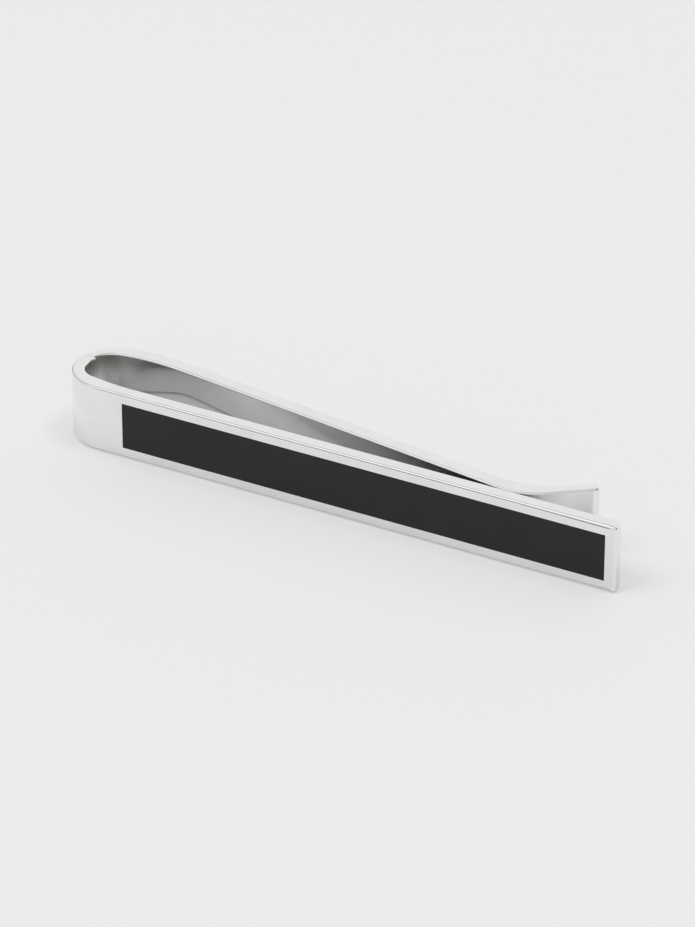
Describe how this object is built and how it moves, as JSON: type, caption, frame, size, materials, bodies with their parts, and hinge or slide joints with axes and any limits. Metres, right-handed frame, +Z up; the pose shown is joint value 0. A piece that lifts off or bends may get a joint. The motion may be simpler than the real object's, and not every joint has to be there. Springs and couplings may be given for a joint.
{
  "type": "tie clip",
  "caption": "Polished metal tie clip: a slim bar with a flush black inlay, turned over at its end into a bend that carries a spring leaf, which grips a tie and shirt front.",
  "frame": {"origin": "middle of the bar's standing face: half way along the clip, half way through the bar's thickness, on its lower long edge", "axes": "+X along the bar to its free end, -Y out of the bar's front face, +Z up across the strip"},
  "size_m": [0.055, 0.0081, 0.0062],
  "materials": {
    "polished_metal": "mirror polished",
    "black_enamel": "gloss",
    "spring_metal": "mirror polished",
    "braze_filler": "satin"
  },
  "bodies": {
    "bar": {"front_bar": "polished_metal", "enamel_inlay": "black_enamel", "braze_seam": "braze_filler"},
    "leaf": {"spring_leaf": "spring_metal"}
  },
  "joints": [
    {"name": "leaf_flex", "type": "hinge", "parent": "bar", "child": "leaf", "pos_m": [-0.02737, 0.00433, 0.0031], "axis": [0, 0, 1], "range_deg": [0, 4], "stiffness_Nm_per_rad": 3.5, "springref_deg": -0.57}
  ]
}
